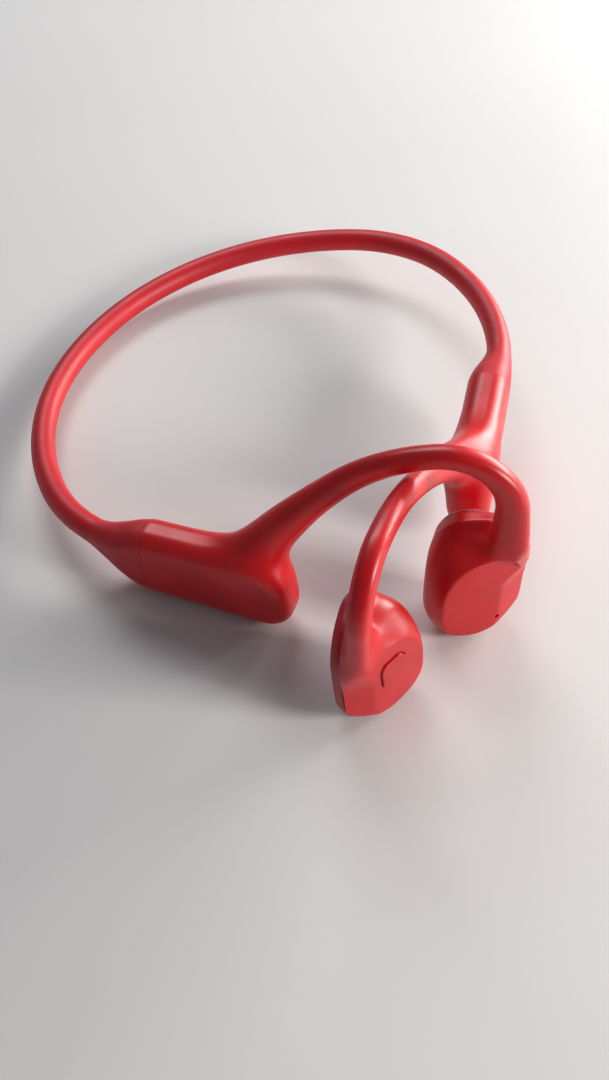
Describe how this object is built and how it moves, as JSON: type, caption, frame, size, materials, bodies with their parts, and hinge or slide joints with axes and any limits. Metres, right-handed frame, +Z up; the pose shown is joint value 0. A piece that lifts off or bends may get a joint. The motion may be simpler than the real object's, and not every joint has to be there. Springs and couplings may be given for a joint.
{
  "type": "bone conduction headphones",
  "caption": "Open-ear headset: thin round neckband, a slim pod at each end, arched over-ear hooks that cross, and rounded transducers that rest on the cheekbones.",
  "frame": {"origin": "centre of the footprint on the table that the headset lies on", "axes": "+Z up, -Y towards the front of the wearer, +X towards the wearer's left"},
  "size_m": [0.1253, 0.1448, 0.0507],
  "materials": {
    "silicone_red": "matte soft-touch silicone",
    "silicone_boot": "matte silicone",
    "coated_shell": "satin soft-touch coating on plastic",
    "pad_red": "matte silicone",
    "button_red": "satin soft-touch coating",
    "spring_wire": "drawn titanium alloy",
    "cable_black": "insulated flat lead",
    "gasket": "moulded seal",
    "screws": "blackened steel",
    "soft_iron": "nickel-plated soft iron",
    "magnet_plate": "nickel-plated rare-earth magnet",
    "copper": "enamelled copper wire",
    "spring_steel": "thin spring steel",
    "circuit_board": "solder mask",
    "black_plastic": "moulded black plastic",
    "metal_can": "stamped metal can",
    "battery_foil": "laminated foil pouch",
    "foam": "soft foam",
    "gold": "gold-plated contacts",
    "light_pipe": "translucent moulding"
  },
  "bodies": {
    "headset": {"battery_board": "circuit_board", "battery_cell": "battery_foil", "battery_foam": "foam", "button_board": "circuit_board", "button_dome": "metal_can", "charging_contacts": "gold", "charging_magnets": "magnet_plate", "charging_port": "black_plastic", "left_boot": "silicone_boot", "left_hook_cable": "cable_black", "left_hook_sleeve": "silicone_red", "left_hook_wire": "spring_wire", "left_leaf_spring": "spring_steel", "left_magnet": "magnet_plate", "left_pod_gasket": "gasket", "left_pod_inner_shell": "coated_shell", "left_pod_outer_shell": "coated_shell", "left_pod_screws": "screws", "left_pole_plate": "soft_iron", "left_transducer_shell": "coated_shell", "left_yoke_cup": "soft_iron", "main_circuit_board": "circuit_board", "microphone": "metal_can", "microphone_mesh": "spring_steel", "neckband_cable": "cable_black", "neckband_sleeve": "silicone_red", "neckband_wire": "spring_wire", "power_chip": "black_plastic", "processor_chip": "black_plastic", "right_boot": "silicone_boot", "right_hook_cable": "cable_black", "right_hook_sleeve": "silicone_red", "right_hook_wire": "spring_wire", "right_leaf_spring": "spring_steel", "right_magnet": "magnet_plate", "right_pod_gasket": "gasket", "right_pod_inner_shell": "coated_shell", "right_pod_outer_shell": "coated_shell", "right_pod_screws": "screws", "right_pole_plate": "soft_iron", "right_transducer_shell": "coated_shell", "right_yoke_cup": "soft_iron", "status_light_pipe": "light_pipe", "volume_switches": "black_plastic"},
    "right_pad": {"right_contact_pad": "pad_red", "right_voice_coil": "copper"},
    "left_pad": {"left_contact_pad": "pad_red", "left_voice_coil": "copper"},
    "multifunction_button": {"multifunction_button": "button_red"},
    "volume_up_button": {"volume_up_button": "button_red"},
    "volume_down_button": {"volume_down_button": "button_red"}
  },
  "joints": [
    {"name": "right_pad_vibration", "type": "slide", "parent": "headset", "child": "right_pad", "axis": [-0.744, -0.6603, 0.1025], "range_m": [-0.0001, 0.0001], "stiffness_N_per_m": 3000},
    {"name": "left_pad_vibration", "type": "slide", "parent": "headset", "child": "left_pad", "axis": [0.7278, -0.6777, 0.1045], "range_m": [-0.0001, 0.0001], "stiffness_N_per_m": 3000},
    {"name": "multifunction_button_press", "type": "slide", "parent": "headset", "child": "multifunction_button", "axis": [-0.1709, 0.9814, -0.0877], "range_m": [0, 0.00035], "stiffness_N_per_m": 3000, "springref_m": -0.0001},
    {"name": "volume_up_press", "type": "slide", "parent": "headset", "child": "volume_up_button", "axis": [0.03, 0.1203, 0.9923], "range_m": [0, 0.0003], "stiffness_N_per_m": 3000, "springref_m": -0.0001},
    {"name": "volume_down_press", "type": "slide", "parent": "headset", "child": "volume_down_button", "axis": [0.03, 0.1203, 0.9923], "range_m": [0, 0.0003], "stiffness_N_per_m": 3000, "springref_m": -0.0001}
  ]
}
